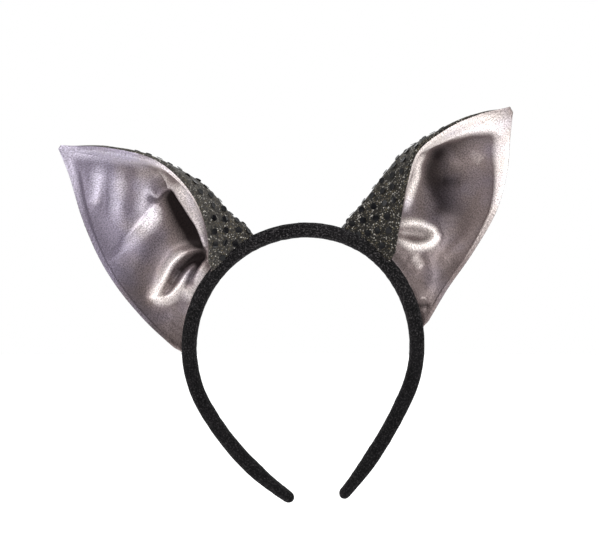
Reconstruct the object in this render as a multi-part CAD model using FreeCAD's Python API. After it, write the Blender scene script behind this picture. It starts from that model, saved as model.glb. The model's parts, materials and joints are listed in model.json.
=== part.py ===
"""Animal ears headband: a padded, fabric-covered spring band with two cupped fabric ears.

The band is a chain of tangent arcs in the XZ plane, seen edge-on from the front.  It has a flat
plastic core, a foam sleeve and a knitted cover.  Each ear is a sandwich of satin, foam and
sequin cloth.  Its base runs up the band, turns through a hairpin and comes back along the front
edge, so that the sequin cloth of the back shows beside the satin from in front.

Millimetres.  -Y is the front, +X is to the right as seen from the front, and +Z is up.  Left and
right in the names are as seen from the front.  The origin is where the inside of the band touches
the top of the head.
"""

import FreeCAD, Part
import math
import os

V = FreeCAD.Vector
Y_AXIS = V(0, 1, 0)

# ---------------------------------------------------------------- band
BAND_THICK = 7.5        # across the band, inside to outside
BAND_DEPTH = 10.5       # front to back
BAND_CORNER = 3.2       # corner radius of the covered section
COVER = 0.7             # knitted cover
CORE_THICK = 1.8
CORE_DEPTH = 7.0
CORE_CORNER = 0.7
CROWN_HEADING = 0.02    # the band's slope at x = 0, in radians
# Tangent arcs from the crown down each side: radius of the centreline, degrees.
LEFT_ARCS = [(63.0, 118.5), (143.0, 26.3)]
RIGHT_ARCS = [(58.0, 30.0), (56.0, 26.0), (65.0, 59.5), (224.0, 15.6)]
LEFT_FLEX = 15.5        # distance along the band from x = 0 to where each side flexes
RIGHT_FLEX = 8.5
FLEX_GAP = 0.35

# ---------------------------------------------------------------- ears
FOAM = 2.3              # foam stiffener
SATIN = 0.4
SEQUIN_CLOTH = 0.6
PLY_GAP = 0.15
BASE_GAP = 1.5          # from the band's cover up to the ear's lower edge
HAIRPIN = 3.2           # radius of the turn at the base
SEQUIN_R = 1.5
SEQUIN_T = 0.15
SEQUIN_PITCH = 6.7
SEQUIN_GAP = 0.22       # from the cloth to the underside of a sequin
EDGE_MARGIN = 2.6       # sequins keep this far from a seam
END_MARGIN = 0.03       # and this share of the ear's length from its base and tip
ROW_MIDDLE = 0.45       # where across the back each row of sequins is centred
FOAM_START = 0.08       # share of the ear's length where the foam begins, and where it ends
FOAM_END = 0.965
FOAM_INSET = 0.03       # share of the ear's width between the foam and each edge
SEAM_END = 0.97
SEAM_SHARE = 0.022      # share of the ear's width that each edge seam takes
CUP_PEAK = 0.75         # power of u that moves the deepest part of the cup towards the base
CUP_TURNS = 1.35        # half waves of the cup across the ear
CUP_LEAN = 0.2          # how far forward the outer edge leans, as a share of the cup
BASE_LEVEL = 8          # power of 1 - u with which the layers turn level with the band
TIP_FLATTEN = 8         # power of u with which the cup flattens out towards the tip
THREAD_R = 0.15
STITCH_LENGTH = 2.0
STITCH_PITCH = 6.0

# Places on the band are distances along its centreline from x = 0.  The outer and inner edges
# are points in the XZ plane from the base to the tip, and the base adds its own first point.
EARS = {
    "left": {
        "side": -1, "outer_foot": 101.5, "fold_foot": 26.5, "inner_foot": 56.5,
        "cup": 15.0, "fold_decay": 1.22,
        "outer": [(-86.2, -43.7), (-106.4, -17.1), (-118.8, 10.4), (-126.5, 35.0), (-131.5, 47.0)],
        "inner": [(-51.2, -2.0), (-57.5, 18.5), (-76.0, 38.6), (-103.0, 47.0), (-130.2, 49.0)],
    },
    "right": {
        "side": 1, "outer_foot": 88.5, "fold_foot": 18.8, "inner_foot": 50.0,
        "cup": 15.0, "fold_decay": 1.06,
        "outer": [(76.0, -27.9), (89.5, -8.3), (102.3, 14.6), (107.8, 36.0), (109.3, 52.0),
                  (111.0, 66.5)],
        "inner": [(50.9, 11.2), (54.7, 27.3), (60.5, 44.0), (74.0, 56.2), (93.0, 65.2),
                  (109.3, 69.5)],
    },
}


# ---------------------------------------------------------------- the band's line
def arcs_of(side):
    """Each arc on one side as (start distance, length, radius, centre x, centre z, heading)."""
    arcs = RIGHT_ARCS if side > 0 else LEFT_ARCS
    heading = side * CROWN_HEADING
    x, z, start = 0.0, BAND_THICK / 2, 0.0
    found = []
    for radius, degrees in arcs:
        length = radius * math.radians(degrees)
        cx = x + radius * math.sin(heading)
        cz = z - radius * math.cos(heading)
        found.append((start, length, radius, cx, cz, heading))
        heading -= length / radius
        x, z = cx - radius * math.sin(heading), cz + radius * math.cos(heading)
        start += length
    return found


def band_frame(distance):
    """The centreline's point and its outward normal at a signed distance from x = 0."""
    side = 1 if distance >= 0 else -1
    arcs = arcs_of(side)
    s = abs(distance)
    start, length, radius, cx, cz, heading = next(
        (a for a in arcs if s <= a[0] + a[1]), arcs[-1])
    angle = heading - (s - start) / radius
    nx, nz = -math.sin(angle), math.cos(angle)
    return V(side * (cx + radius * nx), 0, cz + radius * nz), V(side * nx, 0, nz)


def band_point(distance, lift=0.0, y=0.0):
    point, normal = band_frame(distance)
    return point + normal * lift + V(0, y, 0)


# ---------------------------------------------------------------- the band's solids
def rounded_section(centre, normal, half_thick, half_depth, corner):
    """A rounded rectangle across the band, as a face."""
    def at(a, b):
        return centre + normal * a + V(0, b, 0)

    t, d, r = half_thick, half_depth, corner
    bow = r * (1 - math.sqrt(0.5))
    edges = []
    corners = [(1, 1), (-1, 1), (-1, -1), (1, -1)]
    for i, (i_t, i_d) in enumerate(corners):
        near_t, near_d = at(i_t * t, i_d * (d - r)), at(i_t * (t - r), i_d * d)
        first, last = (near_t, near_d) if i % 2 == 0 else (near_d, near_t)
        edges.append(Part.Arc(first, at(i_t * (t - bow), i_d * (d - bow)), last).toShape())
        n_t, n_d = corners[(i + 1) % 4]
        following = at(n_t * (t - r), n_d * d) if i % 2 == 0 else at(n_t * t, n_d * (d - r))
        edges.append(Part.makeLine(last, following))
    return Part.Face(Part.Wire(edges))


def section_sizes(layer):
    if layer == "core":
        return CORE_THICK / 2, CORE_DEPTH / 2, CORE_CORNER
    inset = 0.0 if layer == "cover" else COVER
    return BAND_THICK / 2 - inset, BAND_DEPTH / 2 - inset, BAND_CORNER - inset


def strip(side, first, last, layer):
    """The solid bar of one layer between two distances on one side, with nothing taken out."""
    solid = None
    for start, length, radius, cx, cz, _ in arcs_of(side):
        low, high = max(first, start), min(last, start + length)
        if high - low < 1e-6:
            continue
        centre, normal = band_frame(side * low if low > 0 else side * 1e-9)
        face = rounded_section(centre, normal, *section_sizes(layer))
        turn = math.degrees((high - low) / radius)
        piece = face.revolve(V(side * cx, 0, cz), V(0, side, 0), turn)
        solid = piece if solid is None else solid.fuse(piece)
    return solid.removeSplitter()


def round_end(distance, layer):
    """The layer's section turned about its own middle: a round end, or a flex knuckle."""
    r, d, c = section_sizes(layer)
    centre, normal = band_frame(distance)

    def at(a, b):
        return centre + normal * a + V(0, b, 0)

    bow = c * (1 - math.sqrt(0.5))
    outline = [
        Part.makeLine(at(0, -d), at(r - c, -d)),
        Part.Arc(at(r - c, -d), at(r - bow, -d + bow), at(r, -d + c)).toShape(),
        Part.makeLine(at(r, -d + c), at(r, d - c)),
        Part.Arc(at(r, d - c), at(r - bow, d - bow), at(r - c, d)).toShape(),
        Part.makeLine(at(r - c, d), at(0, d)),
        Part.makeLine(at(0, d), at(0, -d)),
    ]
    return Part.Face(Part.Wire(outline)).revolve(centre, Y_AXIS, 360)


def arm_bar(side, layer):
    """One side's bar of a layer, from its flex knuckle to its rounded tip."""
    flex = RIGHT_FLEX if side > 0 else LEFT_FLEX
    end = sum(r * math.radians(a) for r, a in (RIGHT_ARCS if side > 0 else LEFT_ARCS))
    bar = strip(side, flex, end, layer)
    for place in (flex, end):
        bar = bar.fuse(round_end(side * place, layer))
    return bar.removeSplitter()


def crown_bar(layer):
    """The short crown piece between the two knuckles."""
    bar = strip(-1, 0, LEFT_FLEX, layer).fuse(strip(1, 0, RIGHT_FLEX, layer))
    for place in (-LEFT_FLEX, RIGHT_FLEX):
        centre, _ = band_frame(place)
        radius = BAND_THICK / 2 + FLEX_GAP
        start = centre - Y_AXIS * BAND_DEPTH
        bar = bar.cut(Part.makeCylinder(radius, 2 * BAND_DEPTH, start, Y_AXIS))
    return bar.removeSplitter()


def band_nodes(bar, prefix):
    cover, foam, core = bar("cover"), bar("foam"), bar("core")
    return {
        prefix + "_cover": cover.cut(foam),
        prefix + "_foam": foam.cut(core),
        prefix + "_core": core,
    }


# ---------------------------------------------------------------- the ear's surface
def smooth(points, t):
    """A smooth curve through the points, read at a share t of their chord length."""
    marks = [0.0]
    for a, b in zip(points, points[1:]):
        marks.append(marks[-1] + math.dist(a, b))
    marks = [m / marks[-1] for m in marks]
    last = len(points) - 1

    def slope(i):
        if i == 0 or i == last:
            j = min(i, last - 1)
            return [(b - a) / (marks[j + 1] - marks[j]) for a, b in zip(points[j], points[j + 1])]
        before, after = marks[i] - marks[i - 1], marks[i + 1] - marks[i]
        return [((p - a) / before * after + (b - p) / after * before) / (before + after)
                for a, p, b in zip(points[i - 1], points[i], points[i + 1])]

    i = max(k for k in range(last) if marks[k] <= t + 1e-12)
    gap = marks[i + 1] - marks[i]
    q = (t - marks[i]) / gap
    m0, m1 = slope(i), slope(i + 1)
    h0, h1 = 2 * q**3 - 3 * q**2 + 1, -2 * q**3 + 3 * q**2
    g0, g1 = (q**3 - 2 * q**2 + q) * gap, (q**3 - q**2) * gap
    return [h0 * a + g0 * c + h1 * b + g1 * d
            for a, b, c, d in zip(points[i], points[i + 1], m0, m1)]


def hairpin_lengths(ear):
    back = ear["outer_foot"] - ear["fold_foot"] - HAIRPIN
    front = ear["inner_foot"] - ear["fold_foot"] - HAIRPIN
    return back, math.pi * HAIRPIN, front


def hairpin(ear, v):
    """(distance along the band, y) on the ear's base line: up the back, round, down the front."""
    back, turn, front = hairpin_lengths(ear)
    s = v * (back + turn + front)
    if s < back:
        return ear["outer_foot"] - s, HAIRPIN
    if s < back + turn:
        angle = (s - back) / HAIRPIN
        fold = ear["fold_foot"] + HAIRPIN
        return fold - HAIRPIN * math.sin(angle), HAIRPIN * math.cos(angle)
    return ear["fold_foot"] + HAIRPIN + s - back - turn, -HAIRPIN


def ear_point(ear, u, v):
    """The middle of the ear's thickness: u from base to tip, v from outer to inner edge."""
    side = ear["side"]
    lift = BAND_THICK / 2 + BASE_GAP
    distance, y = hairpin(ear, v)
    foot = band_point(side * distance, lift)
    outer_foot = band_point(side * ear["outer_foot"], lift)
    inner_foot = band_point(side * ear["inner_foot"], lift)
    outer = smooth([(outer_foot.x, outer_foot.z)] + ear["outer"], u)
    inner = smooth([(inner_foot.x, inner_foot.z)] + ear["inner"], u)
    curl = (1 - u) ** ear["fold_decay"]
    x = (1 - v) * outer[0] + v * inner[0]
    z = (1 - v) * outer[1] + v * inner[1]
    x += curl * (foot.x - (1 - v) * outer_foot.x - v * inner_foot.x)
    z += curl * (foot.z - (1 - v) * outer_foot.z - v * inner_foot.z)
    cup = ear["cup"] * math.sin(math.pi * u**CUP_PEAK) * (1 - u**TIP_FLATTEN)
    profile = math.sin(CUP_TURNS * math.pi * v) - CUP_LEAN * (1 - v)
    return V(x, (1 - u) * y + cup * profile, z)


def ear_normal(ear, u, v):
    """The unit normal on the satin side, turned level with the band close to the base."""
    step = 1e-4
    along = ear_point(ear, min(u + step, 1), v) - ear_point(ear, max(u - step, 0), v)
    across = ear_point(ear, u, min(v + step, 1)) - ear_point(ear, u, max(v - step, 0))
    normal = across.cross(along) if ear["side"] < 0 else along.cross(across)
    normal.normalize()
    _, outward = band_frame(ear["side"] * hairpin(ear, v)[0])
    normal -= outward * (normal.dot(outward) * (1 - u)**BASE_LEVEL)
    return normal.normalize()


def ear_offset(ear, u, v, offset):
    return ear_point(ear, u, v) + ear_normal(ear, u, v) * offset


def v_stations(ear, first, last):
    """Values of v that follow the base line: even on its legs and close round the hairpin."""
    back, turn, front = hairpin_lengths(ear)
    whole = back + turn + front
    marks = [back * k / 5 for k in range(6)]
    marks += [back + turn * k / 4 for k in range(1, 5)]
    marks += [back + turn + front * k / 3 for k in range(1, 4)]
    inside = [m / whole for m in marks if first + 0.012 < m / whole < last - 0.012]
    if len(inside) < 2:
        inside = [first + (last - first) * k / 3 for k in (1, 2)]
    return [first] + inside + [last]


def surface_through(rows, us, vs):
    """The bicubic surface through a grid of points whose parameters are us and vs."""
    row_curves = []
    for row in rows:
        curve = Part.BSplineCurve()
        curve.interpolate(Points=row, Parameters=vs)
        row_curves.append(curve)
    column_curves = []
    for column in zip(*(curve.getPoles() for curve in row_curves)):
        curve = Part.BSplineCurve()
        curve.interpolate(Points=list(column), Parameters=us)
        column_curves.append(curve)
    poles = [list(row) for row in zip(*(curve.getPoles() for curve in column_curves))]
    across, along = row_curves[0], column_curves[0]
    surface = Part.BSplineSurface()
    surface.buildFromPolesMultsKnots(
        poles, along.getMultiplicities(), across.getMultiplicities(),
        along.getKnots(), across.getKnots(), False, False, 3, 3)
    return surface


def ear_surface(ear, offset, u_range=(0.0, 1.0), v_range=(0.0, 1.0)):
    """The ear's surface at an offset from its middle, as one bicubic patch."""
    rows = 9
    us = [u_range[0] + (u_range[1] - u_range[0]) * k / (rows - 1) for k in range(rows)]
    vs = v_stations(ear, *v_range)
    return surface_through([[ear_offset(ear, u, v, offset) for v in vs] for u in us], us, vs)


def ply(ear, low, high, u_range=(0.0, 1.0), v_range=(0.0, 1.0)):
    """One layer of the ear between two offsets from the middle surface, as a closed solid."""
    surfaces = [ear_surface(ear, offset, u_range, v_range) for offset in (low, high)]
    faces = [surface.toShape() for surface in surfaces]
    for side in range(4):
        borders = []
        for surface in surfaces:
            u0, u1, v0, v1 = surface.bounds()
            iso = surface.uIso if side < 2 else surface.vIso
            borders.append(iso((u0, u1, v0, v1)[side]).toShape())
        faces.append(Part.makeRuledSurface(*borders, 1))
    shell = Part.makeShell(faces)
    shell.sewShape()
    solid = Part.makeSolid(shell)
    if solid.Volume < 0:
        solid.reverse()
    return solid


# ---------------------------------------------------------------- the ear's small pieces
def row_places(ear, u, pitch, phase):
    """Values of v at equal steps along a row, measured from the middle of the back."""
    steps = 160
    points = [ear_point(ear, u, k / steps) for k in range(steps + 1)]
    run = [0.0]
    for a, b in zip(points, points[1:]):
        run.append(run[-1] + (b - a).Length)
    middle = run[round(ROW_MIDDLE * steps)]
    first = math.ceil((EDGE_MARGIN - middle - phase) / pitch)
    last = math.floor((run[-1] - EDGE_MARGIN - middle - phase) / pitch)
    found = []
    for k in range(first, last + 1):
        target = middle + phase + k * pitch
        i = max(j for j in range(steps) if run[j] <= target)
        found.append((i + (target - run[i]) / (run[i + 1] - run[i])) / steps)
    return found


def sequins(ear):
    """Round sequins in a hexagonal lattice on the outside of the sequin cloth."""
    cloth = ear_surface(ear, -FOAM / 2 - PLY_GAP - SEQUIN_CLOTH)
    length = cloth.vIso(ROW_MIDDLE).length()
    row_step = SEQUIN_PITCH * math.sqrt(3) / 2 / length
    discs = []
    u, row = END_MARGIN, 0
    while u < 1 - END_MARGIN:
        for v in row_places(ear, u, SEQUIN_PITCH, SEQUIN_PITCH / 2 * (row % 2)):
            outward = cloth.normal(u, v)
            if outward.dot(ear_normal(ear, u, v)) > 0:
                outward = -outward
            centre = cloth.value(u, v) + outward * SEQUIN_GAP
            discs.append(Part.makeCylinder(SEQUIN_R, SEQUIN_T, centre, outward))
        u += row_step
        row += 1
    return Part.makeCompound(discs)


def edge_seams(ear):
    """The turned and stitched seams that close both long edges beside the foam."""
    half = FOAM / 2
    return Part.makeCompound([
        ply(ear, -half, half, (0.0, SEAM_END), (0.0, SEAM_SHARE)),
        ply(ear, -half, half, (0.0, SEAM_END), (1.0 - SEAM_SHARE, 1.0)),
    ])


def base_stitches(ear):
    """Hand stitches on the band's cover, under the ear's base line."""
    lift = BAND_THICK / 2 + THREAD_R + 0.05
    bars = []
    place = ear["fold_foot"] + STITCH_PITCH / 2
    while place < ear["outer_foot"]:
        for y in (-0.6 - STITCH_LENGTH, 0.6):
            if y > 0 or place < ear["inner_foot"]:
                start = band_point(ear["side"] * place, lift, y)
                bars.append(Part.makeCylinder(THREAD_R, STITCH_LENGTH, start, Y_AXIS))
        place += STITCH_PITCH
    return Part.makeCompound(bars)


def ear_nodes(name, ear):
    half = FOAM / 2
    cloth = half + PLY_GAP
    return {
        name + "_ear_foam_stiffener": ply(
            ear, -half, half, (FOAM_START, FOAM_END), (FOAM_INSET, 1 - FOAM_INSET)),
        name + "_ear_satin_front": ply(ear, cloth, cloth + SATIN),
        name + "_ear_sequin_back": ply(ear, -cloth - SEQUIN_CLOTH, -cloth),
        name + "_ear_sequins": sequins(ear),
        name + "_ear_edge_seams": edge_seams(ear),
        name + "_base_stitches": base_stitches(ear),
    }


# ---------------------------------------------------------------- build
def main():
    os.makedirs("parts", exist_ok=True)
    nodes = band_nodes(crown_bar, "crown")
    for name, ear in EARS.items():
        nodes.update(band_nodes(lambda layer: arm_bar(ear["side"], layer), name + "_arm"))
        nodes.update(ear_nodes(name, ear))
    for name, shape in nodes.items():
        shape.exportStep(os.path.join("parts", name + ".step"))
        print(name, "valid" if shape.isValid() else "NOT VALID", "solids", len(shape.Solids),
              "mm3", round(shape.Volume, 1))


main()
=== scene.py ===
"""Looks for the animal ears headband: knitted band, satin ears and sequin cloth backs.

The shapes are worked out in millimetres from the same driving dimensions as the CAD part and are
turned into metres when a mesh is made.  -Y is the front, +X the right as seen from the front.
"""

import json
import math

import bpy
import numpy as np
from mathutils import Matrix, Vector


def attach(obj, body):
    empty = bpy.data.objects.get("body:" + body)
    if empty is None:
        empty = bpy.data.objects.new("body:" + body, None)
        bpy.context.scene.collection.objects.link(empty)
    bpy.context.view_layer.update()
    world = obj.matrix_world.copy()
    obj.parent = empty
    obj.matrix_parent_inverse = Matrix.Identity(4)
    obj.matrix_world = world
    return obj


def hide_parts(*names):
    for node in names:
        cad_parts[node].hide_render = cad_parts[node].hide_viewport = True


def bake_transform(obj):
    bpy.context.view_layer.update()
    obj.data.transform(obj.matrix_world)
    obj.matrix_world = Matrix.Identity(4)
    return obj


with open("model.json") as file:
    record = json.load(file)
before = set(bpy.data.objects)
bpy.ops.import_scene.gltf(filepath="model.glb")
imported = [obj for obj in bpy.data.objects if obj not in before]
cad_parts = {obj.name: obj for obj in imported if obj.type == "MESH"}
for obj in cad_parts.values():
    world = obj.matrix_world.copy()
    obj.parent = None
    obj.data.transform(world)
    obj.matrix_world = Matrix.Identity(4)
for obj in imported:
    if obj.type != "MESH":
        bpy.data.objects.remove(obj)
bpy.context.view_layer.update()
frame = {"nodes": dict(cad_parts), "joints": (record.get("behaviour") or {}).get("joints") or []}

MM = 0.001

# ---------------------------------------------------------------- band dimensions, mm
BAND_THICK = 7.5
BAND_DEPTH = 10.5
BAND_CORNER = 3.2
CROWN_HEADING = 0.02
LEFT_ARCS = [(63.0, 118.5), (143.0, 26.3)]
RIGHT_ARCS = [(58.0, 30.0), (56.0, 26.0), (65.0, 59.5), (224.0, 15.6)]
LEFT_FLEX = 15.5
RIGHT_FLEX = 8.5
COVER_SWELL = 0.22      # how far the knit stands off the band's plain section
TIP_TAPER = 0.30        # how much narrower the band is at its tips, as a share
TAPER_RUN = 28.0        # over this length
COVER_MEETS = -3.5      # place on the band where the two halves of the cover's mesh meet

# ---------------------------------------------------------------- mesh densities
COVER_ROWS, CAP_ROWS, COVER_SIDES = 620, 14, 96
GRID_U, GRID_V = 250, 300

# ---------------------------------------------------------------- ear dimensions, mm
SATIN_OFFSET = 1.5      # satin from the middle of the ear's thickness
CLOTH_OFFSET = 1.6      # sequin cloth from the middle of the ear's thickness
RIM_IN, RIM_OUT = 0.9, 0.35     # how far the satin's padded rims stand up
HOLLOW = 0.7            # how far the satin sinks between them
DEEPEST = -0.9          # the lowest that the satin may go, from the middle of the ear's thickness
EDGE_ROUND = 3.0        # from an edge to where folds and lumps have their full height
HAIRPIN = 3.2           # radius of the turn at the base
BASE_SINK = 0.12        # how deep the ear's lowest row sinks into the band's cover
CUP_PEAK = 0.75         # power of u that moves the deepest part of the cup towards the base
CUP_TURNS = 1.35        # half waves of the cup across the ear
CUP_LEAN = 0.2          # how far forward the outer edge leans, as a share of the cup
TIP_FLATTEN = 8         # power of u with which the cup flattens out towards the tip
STITCH_PITCH = 2.6      # machine stitches along the two long edges

# ---------------------------------------------------------------- sequins and thread, mm
SEQUIN_R = 1.75
SEQUIN_LIFT = 0.3       # from the cloth up to a sequin's underside
SEQUIN_TILT = 0.1       # spread of the sequins' tilts, in radians
SEQUIN_STEP = 7.2       # between sequins in a row
SEQUIN_ROW = 6.7        # between rows
EDGE_MARGIN = 4.4       # sequins keep this far from a seam
END_MARGIN = 0.03       # and this share of the ear's length from its base and tip
ROW_MIDDLE = 0.45       # where across the back the lattice of sequins is centred
THREAD_R = 0.16
THREAD_STEP = 0.028     # between hand stitches, as a share of the base

# A foot is a place on the band, as a distance along its centreline from x = 0: where the outer edge,
# the turn of the hairpin and the inner edge meet it.  cup is how deep the ear is, fold_decay and tuck
# say how soon the folded base opens out, and lattice turns the rows of sequins, in radians.
# rim_shadow paints shade on the satin beside the inner rim and rim_roll thickens that rim.  The outer
# and inner edges are points (x, z) up to the tip, after a first point that comes from the foot.
EARS = {
    "left": {
        "side": -1, "outer_foot": 101.5, "fold_foot": 26.5, "inner_foot": 56.5,
        "cup": 15.0, "fold_decay": 1.22, "tuck": 0.11, "lattice": 0.6,
        "rim_shadow": 0.08, "rim_roll": 0.0,
        "outer": [(-86.2, -43.7), (-106.4, -17.1), (-118.8, 10.4), (-126.5, 35.0), (-131.5, 47.0)],
        "inner": [(-51.2, -2.0), (-57.5, 18.5), (-76.0, 38.6), (-103.0, 47.0), (-130.2, 49.0)],
    },
    "right": {
        "side": 1, "outer_foot": 88.5, "fold_foot": 18.8, "inner_foot": 50.0,
        "cup": 15.0, "fold_decay": 1.06, "tuck": 0.05, "lattice": -0.84,
        "rim_shadow": 0.25, "rim_roll": 2.0,
        "outer": [(76.0, -27.9), (89.5, -8.3), (102.3, 14.6), (107.8, 36.0), (109.3, 52.0),
                  (111.0, 66.5)],
        "inner": [(50.9, 11.2), (53.9, 27.5), (59.4, 44.2), (73.6, 56.0), (93.0, 65.2),
                  (109.3, 69.5)],
    },
}

# The satin from base to tip: share of the ear's length, width of the padded rim at the inner edge
# and at the outer edge in mm, then the painted tones of the inner rim, the outer rim and the hollow
# between them.  A tone paints light on the satin above 0, up to 1, and paints shade on it below 0,
# down to -1.
RIMS = {
    "left": [
        (0.00, 2.0, 2.0, 0.00, 0.05, -0.12), (0.20, 4.0, 2.0, 0.40, 0.10, -0.14),
        (0.35, 11.0, 2.2, 1.00, 0.10, 0.00), (0.50, 15.0, 2.4, 1.00, 0.15, 0.18),
        (0.60, 16.0, 3.5, 0.66, 0.20, 0.22), (0.72, 14.0, 5.0, 0.50, 0.26, 0.08),
        (0.85, 10.5, 6.5, 0.40, 0.34, 0.02), (1.00, 5.0, 4.0, 0.25, 0.30, 0.15)],
    "right": [
        (0.00, 2.0, 2.0, 0.10, -0.05, -0.12), (0.25, 8.0, 2.0, 0.45, -0.05, -0.16),
        (0.40, 14.0, 2.2, 0.90, 0.00, -0.26), (0.55, 18.0, 3.2, 1.00, 0.25, -0.30),
        (0.65, 17.0, 6.0, 1.00, 0.75, -0.26), (0.75, 16.0, 10.5, 1.00, 0.95, -0.12),
        (0.87, 17.0, 12.0, 0.85, 0.95, 0.05), (1.00, 5.0, 4.5, 0.05, 0.30, 0.10)],
}

# Folds of the satin as seen from the front: points (x, z), then the fall-off width on the left and
# on the right of the way the points run, then the height, all in mm.  A positive height stands out
# towards the front and a negative one is a hollow.  The last number is added to the satin's tone:
# painted light where it is above 0 and painted shade where it is below 0.
FOLDS = {
    "left": [
        ([(-55.0, -6.2), (-63.8, -9.0), (-71.0, -15.4), (-75.2, -22.9), (-78.6, -29.0), (-80.6, -33.0),
          (-75.0, -33.2), (-67.3, -27.2), (-63.1, -21.5), (-59.5, -16.5)], 1.8, 4.4, 2.3, 0.75),
        ([(-80.5, -30.5), (-79.0, -34.0)], 3.6, 3.6, 0.6, 0.55),
        ([(-56.0, -10.6), (-62.0, -13.0), (-68.0, -18.5)], 2.4, 2.4, -2.0, -0.85),
        ([(-68.0, -18.5), (-72.0, -25.5)], 2.0, 2.0, -1.6, -0.35),
        ([(-51.9, -12.0), (-56.0, -20.1), (-60.1, -26.6), (-63.0, -33.3)], 1.6, 2.0, 1.5, 0.55),
        ([(-55.2, -12.0), (-58.6, -18.5), (-62.0, -27.0)], 1.6, 1.6, -1.4, -1.0),
        ([(-69.0, 25.5), (-66.0, 20.4), (-62.0, 14.0), (-58.2, 8.0), (-55.0, 1.0), (-52.6, -6.0)],
         3.0, 1.6, 1.9, 0.3),
        ([(-72.6, 26.2), (-70.1, 21.9), (-66.5, 16.4), (-62.8, 10.3), (-59.2, 5.2), (-56.4, -1.6),
          (-53.2, -8.0)], 0.9, 8.5, -2.2, -1.5),
        ([(-83.0, 25.4), (-79.0, 22.6), (-76.2, 25.6), (-71.0, 27.2)], 1.6, 2.0, 1.6, 0.4),
        ([(-84.5, 21.5), (-79.0, 19.0)], 1.6, 1.6, -0.6, -0.35),
        ([(-80.7, 15.6), (-92.9, 1.2), (-103.0, -13.0)], 6.5, 2.6, 1.2, 0.3),
        ([(-79.5, 14.5), (-87.0, 5.0)], 5.0, 3.2, 0.4, 0.45),
        ([(-78.5, 18.0), (-84.0, 10.5)], 4.0, 3.0, 0.5, 0.4),
        ([(-110.4, 35.3), (-113.6, 16.8)], 4.2, 4.2, 0.9, 0.56),
        ([(-98.6, 32.5), (-102.8, 12.6)], 5.0, 5.0, 0.7, 0.26),
        ([(-105.9, 34.5), (-108.2, 14.0)], 2.8, 2.8, -0.5, -0.16),
        ([(-93.6, 36.0), (-96.5, 12.0)], 4.2, 4.2, -0.6, -0.3),
        ([(-116.0, 28.0), (-111.0, 8.0), (-101.0, -12.0), (-90.0, -33.0), (-79.0, -50.0)],
         9.0, 9.0, -0.3, -0.38),
        ([(-86.0, 41.0), (-76.0, 36.0), (-66.0, 28.0)], 2.6, 2.6, 0.0, -0.3),
        ([(-79.5, 35.0), (-74.0, 31.0)], 3.0, 3.0, 0.3, 0.3),
        ([(-68.0, 29.0), (-62.4, 21.9), (-57.6, 12.8), (-54.4, 3.0)], 2.4, 2.4, 0.4, 0.5),
        ([(-85.0, 27.0), (-88.5, 14.0)], 2.4, 2.4, 0.5, 0.3),
        ([(-87.5, -12.0), (-92.0, -26.0), (-84.0, -42.0)], 7.0, 7.0, -0.5, -0.15),
        ([(-84.4, -47.0), (-70.0, -57.5)], 2.5, 1.6, -0.5, -0.5),
        ([(-76.0, 2.0), (-88.0, -12.0)], 5.5, 5.5, -0.5, -0.25),
    ],
    "right": [
        ([(51.5, 7.4), (58.6, 7.8), (64.6, 6.2), (69.2, 3.6), (70.6, 0.2), (68.4, -3.0), (63.2, -4.8),
          (57.4, -4.9), (50.6, -2.2)], 2.5, 2.2, 2.2, 1.3),
        ([(88.0, 46.0), (95.0, 40.0)], 6.0, 6.0, 0.3, 0.35),
        ([(68.0, 1.0), (70.0, -2.0)], 3.4, 3.4, 0.5, 0.5),
        ([(51.5, 2.2), (59.0, 2.2), (65.5, 0.8)], 2.2, 2.2, -1.2, 0.4),
        ([(64.5, 46.5), (60.8, 40.5), (60.0, 33.0), (57.6, 27.5), (55.6, 22.0), (54.2, 16.5)],
         2.9, 2.9, 0.8, 1.1),
        ([(77.0, 47.0), (70.5, 41.0), (67.6, 33.5), (70.5, 25.5), (74.0, 18.0), (73.0, 10.5)],
         10.5, 5.4, -1.3, -0.62),
        ([(74.0, 31.0), (84.0, 30.0)], 4.0, 4.0, -0.6, -0.25),
        ([(77.0, 41.5), (84.0, 40.5)], 3.6, 3.6, 0.8, 0.4),
        ([(58.0, -9.5), (62.0, -17.0)], 3.2, 3.2, 0.6, 0.45),
        ([(66.0, -9.0), (74.0, -5.0)], 5.0, 5.0, 0.3, 0.15),
        ([(73.0, -14.0), (90.0, 4.0)], 3.0, 3.0, 0.5, 0.12),
        ([(66.0, -24.0), (82.0, -14.0)], 3.5, 3.5, -0.4, -0.15),
        ([(60.0, -36.0), (66.0, -37.0)], 1.3, 1.3, -0.6, -0.6),
        ([(62.5, -32.5), (65.5, -33.5)], 0.9, 0.9, 0.4, 0.3),
        ([(84.0, -10.0), (93.0, 8.0), (98.0, 30.0)], 5.0, 5.0, 0.3, 0.16),
    ],
}


# ---------------------------------------------------------------- smooth maths
def smoothstep(x, low, high):
    t = np.clip((x - low) / (high - low), 0.0, 1.0)
    return t * t * (3 - 2 * t)


def bell(x, width):
    """From 1 at x = 0 towards 0 on both sides."""
    return np.exp(-((x / width) ** 2))


def ripple(points, scale, seed, waves=7):
    """Smooth noise from -1 to 1 over points of any number of axes, with lumps about scale across."""
    random = np.random.default_rng(seed)
    total = np.zeros(points.shape[:-1])
    for _ in range(waves):
        way = random.normal(size=points.shape[-1])
        way /= np.linalg.norm(way)
        pace = 2 * math.pi / (scale * random.uniform(0.7, 1.7))
        total += np.sin(points @ way * pace + random.uniform(0, 2 * math.pi))
    return total / math.sqrt(waves) / 1.6


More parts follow.
